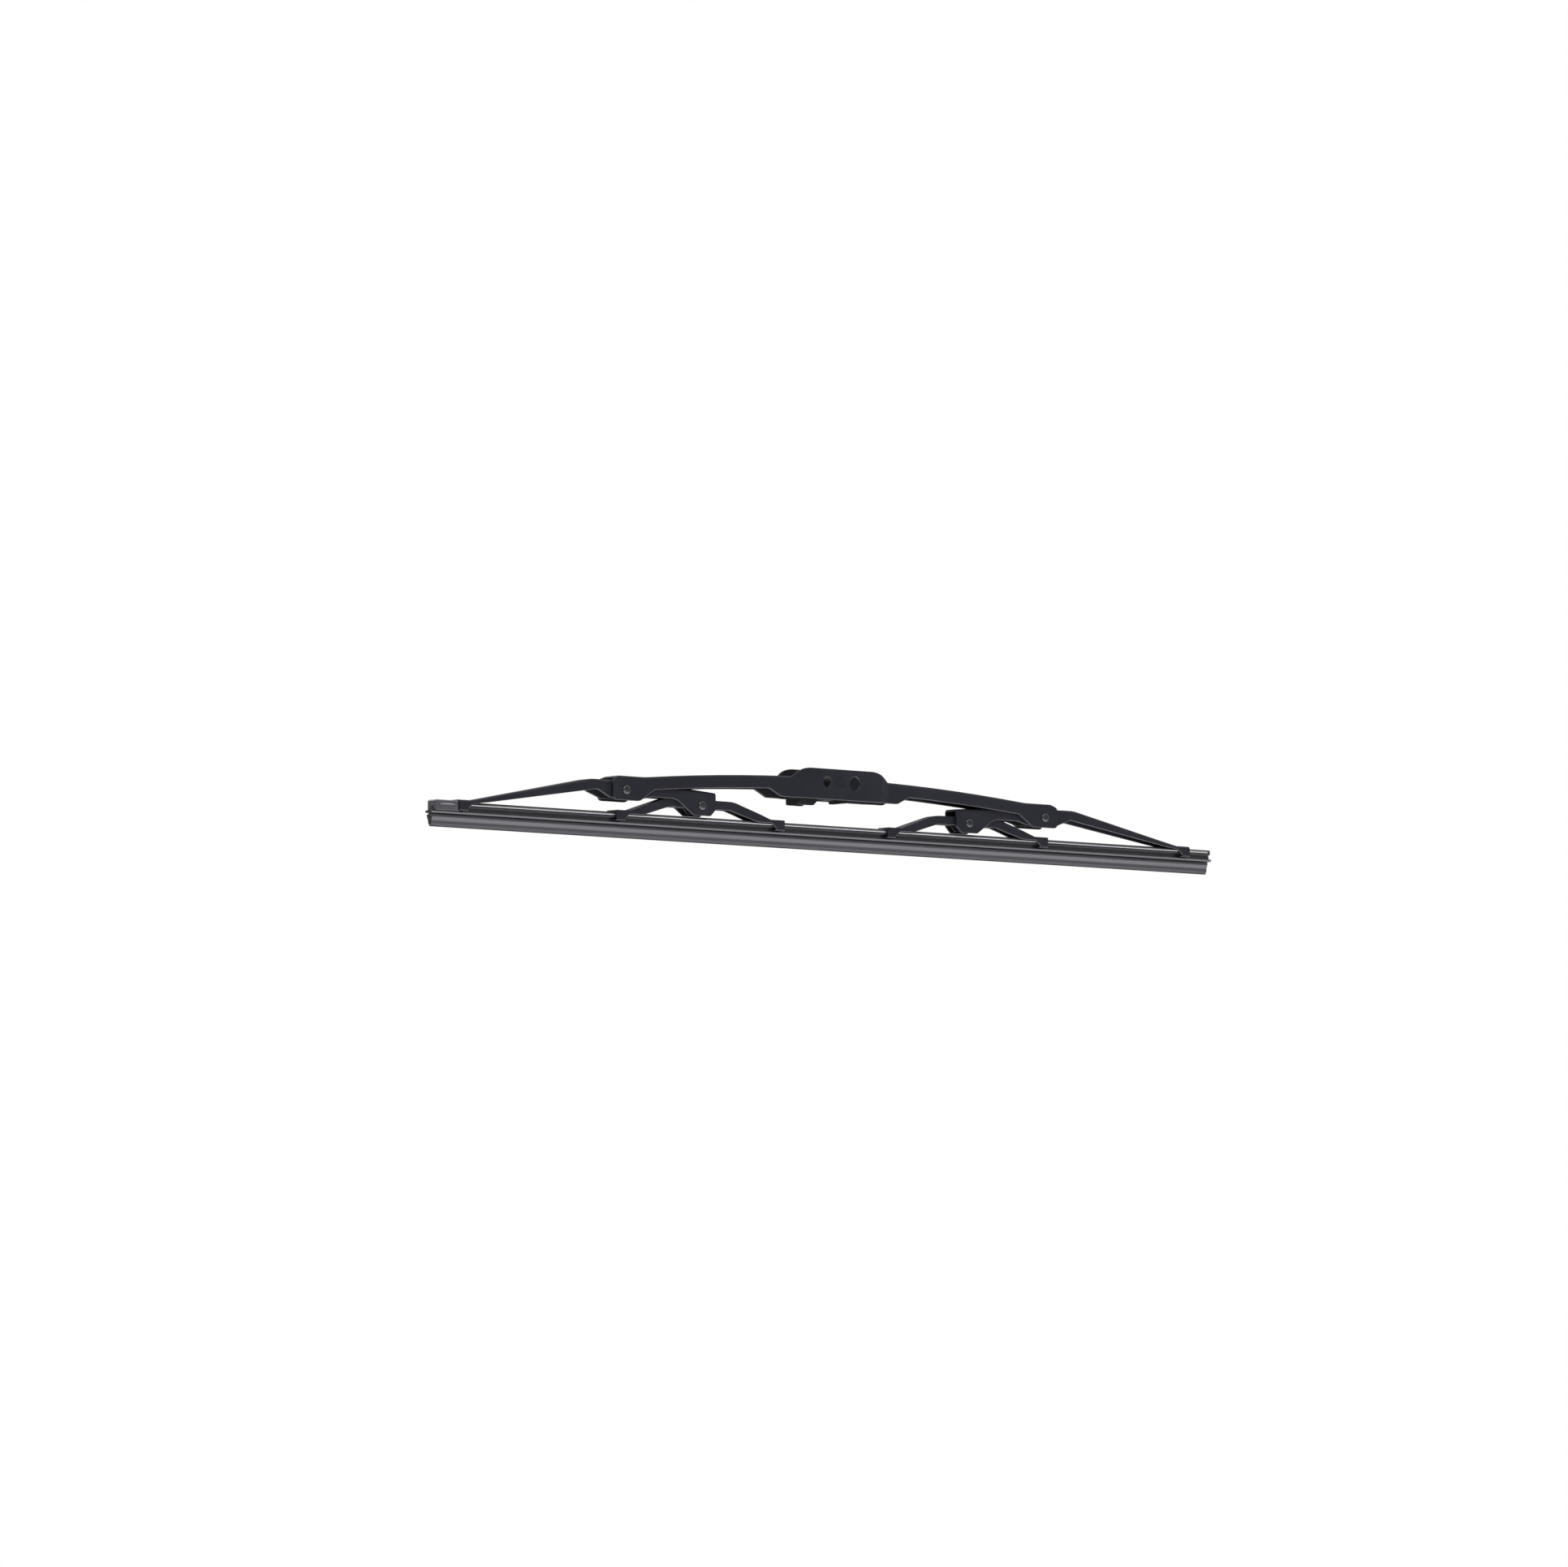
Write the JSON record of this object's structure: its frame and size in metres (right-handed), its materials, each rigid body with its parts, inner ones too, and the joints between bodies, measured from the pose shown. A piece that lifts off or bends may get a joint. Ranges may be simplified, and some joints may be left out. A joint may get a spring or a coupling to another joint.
{
  "type": "wiper blade",
  "caption": "Metal-frame windscreen wiper blade: arched primary lever with an open hook hump, riveted secondary levers and clawed yokes that hold a rubber squeegee on spring strips.",
  "frame": {"origin": "on the hook pin's axis, at the middle of the hump", "axes": "+X along the blade, +Y across it along the hook pin, +Z away from the glass"},
  "size_m": [0.4756, 0.0154, 0.0377],
  "materials": {
    "painted_steel": "satin black paint",
    "black_plastic": "matte",
    "rubber": "matte",
    "spring_steel": "brushed",
    "clip_steel": "satin"
  },
  "bodies": {
    "primary": {"primary_lever": "painted_steel", "hook_pin": "painted_steel", "left_lever_rivet": "painted_steel", "right_lever_rivet": "painted_steel", "squeegee": "rubber", "front_flexor": "spring_steel", "rear_flexor": "spring_steel"},
    "left_secondary": {"left_secondary_lever": "painted_steel", "left_lever_liner": "black_plastic", "left_yoke_rivet": "painted_steel", "end_clip": "clip_steel"},
    "right_secondary": {"right_secondary_lever": "painted_steel", "right_lever_liner": "black_plastic", "right_yoke_rivet": "painted_steel"},
    "left_yoke_set": {"left_yoke": "painted_steel", "left_yoke_liner": "black_plastic"},
    "right_yoke_set": {"right_yoke": "painted_steel", "right_yoke_liner": "black_plastic"},
    "adapter": {"hook_adapter": "black_plastic"}
  },
  "joints": [
    {"name": "left_lever_pivot", "type": "hinge", "parent": "primary", "child": "left_secondary", "pos_m": [-0.12767, 0, -0.0097], "axis": [0, 1, 0], "range_deg": [-3, 1.5], "stiffness_Nm_per_rad": 1, "deforming": ["squeegee", "front_flexor", "rear_flexor"]},
    {"name": "right_lever_pivot", "type": "hinge", "parent": "primary", "child": "right_secondary", "pos_m": [0.12767, 0, -0.0097], "axis": [0, 1, 0], "range_deg": [-1.5, 3], "stiffness_Nm_per_rad": 1},
    {"name": "left_yoke_pivot", "type": "hinge", "parent": "left_secondary", "child": "left_yoke_set", "pos_m": [-0.0815, 0, -0.0145], "axis": [0, 1, 0], "range_deg": [-0.65, 1.3], "stiffness_Nm_per_rad": 0.3},
    {"name": "right_yoke_pivot", "type": "hinge", "parent": "right_secondary", "child": "right_yoke_set", "pos_m": [0.0815, 0, -0.0145], "axis": [0, 1, 0], "range_deg": [-1.3, 0.65], "stiffness_Nm_per_rad": 0.3},
    {"name": "adapter_pivot", "type": "hinge", "parent": "primary", "child": "adapter", "pos_m": [0, 0, 0], "axis": [0, 1, 0], "range_deg": [-10, 40]}
  ],
  "couplings": [
    {"joint": "right_lever_pivot", "follows": "left_lever_pivot", "ratio": -1},
    {"joint": "left_yoke_pivot", "follows": "left_lever_pivot", "ratio": -0.4285},
    {"joint": "right_yoke_pivot", "follows": "left_lever_pivot", "ratio": 0.4285}
  ]
}
